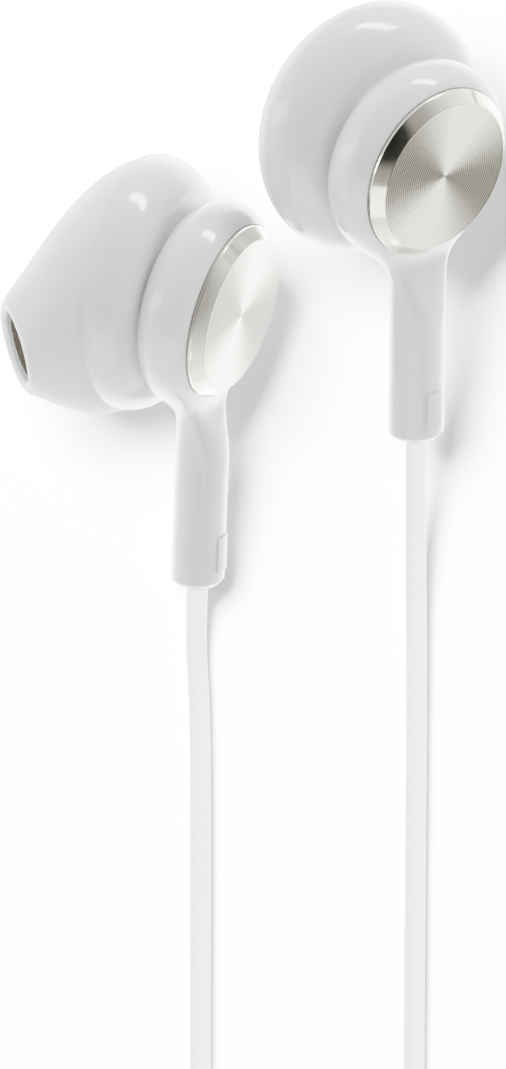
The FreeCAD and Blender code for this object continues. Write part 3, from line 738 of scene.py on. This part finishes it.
def horn_ring(side, step):
    """Centre, two axes, heading and outer radius of the sleeve's ring at a step."""
    hand = SIDES[side]
    low = on_curve(HORN_LONG, step)
    high = on_curve(HORN_SHORT, step)
    middle = (low + high) / 2
    radius = np.linalg.norm(high - low) / 2
    across = (high - low) / (2 * radius)
    dip = math.radians(HORN_DIP[0] + (HORN_DIP[1] - HORN_DIP[0]) * step)
    heading = np.array((hand * across[2] * math.cos(dip), -math.sin(dip), -across[0] * math.cos(dip)))
    across = np.array((hand * across[0], 0.0, across[2]))
    drop = HORN_DROP * step - HORN_RISE * math.sin(math.pi * step)
    centre = np.array((hand * middle[0], -drop, middle[2]))
    return centre, across, np.cross(heading, across), heading, radius


def sleeve_rows():
    """Step, distance ahead and inset of each ring: rim, outside, lip, then the lining back to the rim."""
    wall = SLEEVE_WALL
    rows = []
    for bend in np.linspace(180, 90, 7):
        turn = math.radians(bend)
        rows.append((0.0, SLEEVE_RIM * math.cos(turn), SLEEVE_RIM - SLEEVE_RIM * math.sin(turn)))
    for step in np.linspace(0.03, 1.0, 44):
        rows.append((step, -LIP_BACK * max(0.0, (step - LIP_START) / (1 - LIP_START)), 0.0))
    for bend in np.linspace(75, -90, 10):
        turn = math.radians(bend)
        rows.append((1.0, -LIP_BACK + LIP_REACH * math.cos(turn), wall / 2 - wall / 2 * math.sin(turn)))
    for step in np.linspace(0.97, 0.04, 16):
        rows.append((step, 0.0, wall))
    rows.append((0.0, -SLEEVE_TUCK, wall))
    return rows


def make_sleeve(side, finish):
    """Soft sleeve: a flared horn with rolled ends and a lining."""
    around = 160
    angle = np.linspace(0, 2 * math.pi, around, endpoint=False)
    rows = sleeve_rows()
    rings = []
    for step, ahead, inset in rows:
        centre, across, upward, heading, radius = horn_ring(side, step)
        circle = np.outer(np.cos(angle), across) + np.outer(np.sin(angle), upward)
        rings.append(centre + heading * ahead + circle * (radius - inset))
    sleeve = piece("soft_sleeve_" + side, np.concatenate(rings), ring_faces(len(rows), around),
                   turned_frame(side), finish["white_silicone"], "sleeve_" + side, sharp=50)
    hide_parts("ear_sleeve_" + side)


def make_grille(side, finish):
    """Woven sound mesh, domed toward the sleeve's opening."""
    profile = [(0.0, -MESH_BACK), (MESH_RADIUS, -MESH_BACK)]
    for share in np.linspace(1.0, 0.0, 16):
        profile.append((MESH_RADIUS * share, -MESH_SINK + MESH_DOME * (1 - share * share)))
    points, faces = turned(profile[::-1], 96)
    centre, across, upward, heading, _ = horn_ring(side, 1.0)
    place = turned_frame(side) @ axes(across, upward, heading, centre * MM)
    grille = piece("grille_" + side, points, faces, place, finish["dark_mesh"],
                   "bud_" + side, sharp=50)
    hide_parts("sound_mesh_" + side)


# ---------------------------------------------------------------- neckband

BAND_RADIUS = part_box("band_arm_right")[1].x - BAND_HALF * MM
BAND_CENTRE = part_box("band_crown")[1].y - BAND_HALF * MM - BAND_RADIUS


def band_axis(angle):
    """Point of the band's centre line and its outward direction at an angle from the crown, in metres."""
    turn = math.radians(angle)
    outward = Vector((math.sin(turn), math.cos(turn), 0.0))
    return Vector((0, BAND_CENTRE, BAND_HEIGHT * MM)) + outward * BAND_RADIUS, outward


def band_tube(start, end):
    """Points and faces of the oval sleeve between two angles of the band, with a faint mould line."""
    around = 64
    angle = np.linspace(0, 2 * math.pi, around, endpoint=False)
    ridge = BAND_RIDGE * np.exp(-(np.sin(angle) / BAND_RIDGE_WIDTH) ** 2)
    count = int(abs(end - start) / BAND_STEP) + 1
    points = []
    for place in np.linspace(start, end, count):
        centre, outward = band_axis(place)
        wide = np.outer((BAND_HALF + ridge) * np.cos(angle), outward)
        high = np.outer(BAND_RISE * np.sin(angle), (0, 0, 1))
        points.append(wide + high + np.array(centre) / MM)
    faces = ring_faces(count, around)
    if end < start:
        faces = [face[::-1] for face in faces]
    return np.concatenate(points), faces


def make_band(finish):
    """Silicone sleeve of the neckband: a crown piece that rides on the neckband, and a piece along each flexing
    length and arm.
    """
    points, faces = band_tube(-BAND_FIXED, BAND_FIXED)
    crown = piece("band_sleeve_crown", points, faces, Matrix.Identity(4),
                  finish["band_silicone"], "neckband")
    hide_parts("band_crown")
    for side, hand in SIDES.items():
        points, faces = band_tube(hand * BAND_FIXED, hand * BAND_COLLAR)
        arm = piece("band_sleeve_" + side, points, faces, Matrix.Identity(4),
                    finish["band_silicone"], None)
        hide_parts("band_flex_" + side, "band_arm_" + side)
        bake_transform(arm)


# ---------------------------------------------------------------- CAD nodes kept

def paint_nodes(finish):
    """Give every CAD node the finish of its slot."""
    for part in frame["record"]["subparts"]:
        thing = frame["nodes"][part["node"]]
        thing.data.materials.clear()
        thing.data.materials.append(finish[part["material_slot"]])


# ---------------------------------------------------------------- stage

def add_area(name, place, size, power, mirrored):
    """Soft box that shines at the buds; a mirrored one also shows in glossy surfaces."""
    data = bpy.data.lights.new(name, "AREA")
    data.shape = "RECTANGLE"
    data.size, data.size_y = size
    data.energy = power
    lamp = bpy.data.objects.new(name, data)
    lamp.location = place
    lamp.rotation_mode = "QUATERNION"
    lamp.rotation_quaternion = (-Vector(place)).to_track_quat("-Z", "Y")
    lamp.visible_glossy = mirrored
    bpy.context.scene.collection.objects.link(lamp)
    return lamp


def make_room():
    """Room that is bright near the horizon and dark overhead."""
    world = bpy.data.worlds.new("room")
    world.use_nodes = True
    tree = world.node_tree
    coords = tree.nodes.new("ShaderNodeTexCoord")
    parts = tree.nodes.new("ShaderNodeSeparateXYZ")
    ramp = tree.nodes.new("ShaderNodeValToRGB")
    stops = ramp.color_ramp.elements
    for index, (height, tone) in enumerate(ROOM_TONES):
        position = 0.5 + 0.5 * height
        stop = stops[index] if index < 2 else stops.new(position)
        stop.position = position
        stop.color = (tone, tone, tone, 1.0)
    tree.links.new(coords.outputs["Generated"], parts.inputs["Vector"])
    share = add_math(tree, "ADD", add_math(tree, "MULTIPLY", parts.outputs["Z"], 0.5), 0.5)
    tree.links.new(share, ramp.inputs["Fac"])
    tree.links.new(ramp.outputs["Color"], tree.nodes["Background"].inputs["Color"])
    tree.nodes["Background"].inputs["Strength"].default_value = ROOM_LIGHT
    bpy.context.scene.world = world


def make_floor():
    """Pale floor that gloss doesn't mirror."""
    reach = 6.0
    corners = [(-reach, -reach, 0), (reach, -reach, 0), (reach, reach, 0), (-reach, reach, 0)]
    mesh = bpy.data.meshes.new("floor")
    mesh.from_pydata(corners, [], [(0, 1, 2, 3)])
    material, _, shader, _ = new_material("floor_white", (0.95, 0.95, 0.95), 0.7)
    shader.inputs["Specular IOR Level"].default_value = 0.1
    mesh.materials.append(material)
    floor = bpy.data.objects.new("floor", mesh)
    bpy.context.scene.collection.objects.link(floor)
    floor.visible_glossy = False
    return floor


def light_group(name, things):
    """Collection of things for the light linking of a lamp."""
    group = bpy.data.collections.new(name)
    for thing in things:
        group.objects.link(thing)
    return group


def make_stage():
    """Floor, soft boxes and room.

    One soft box lights only the floor, one only the cords, and the others everything but the floor.
    """
    floor = make_floor()
    lit = light_group("lit_floor", [floor])
    unlit = light_group("unlit_floor", [floor])
    unlit.collection_objects[0].light_linking.link_state = "EXCLUDE"
    for light in BODY_LIGHTS:
        add_area(*light).light_linking.receiver_collection = unlit
    add_area(*TABLE_LIGHT).light_linking.receiver_collection = lit
    thin = []
    for side in SIDES:
        thin += [bpy.data.objects["ear_cord_" + side], frame["nodes"]["cord_flex_" + side]]
    add_area(*CORD_LIGHT).light_linking.receiver_collection = light_group("lit_cords", thin)
    make_room()


make_camera()
finish = make_materials()
for side in SIDES:
    make_cord(side, finish["white_cord"])
paint_nodes(finish)
rear_shape = skin(rear_distance, SKIN_LOW, SKIN_HIGH, SKIN_STEP)
for side in SIDES:
    make_rear_case(side, finish, rear_shape)
    make_disc(side, finish)
    make_dome(side, finish)
    make_sleeve(side, finish)
    make_grille(side, finish)
make_band(finish)
make_stage()
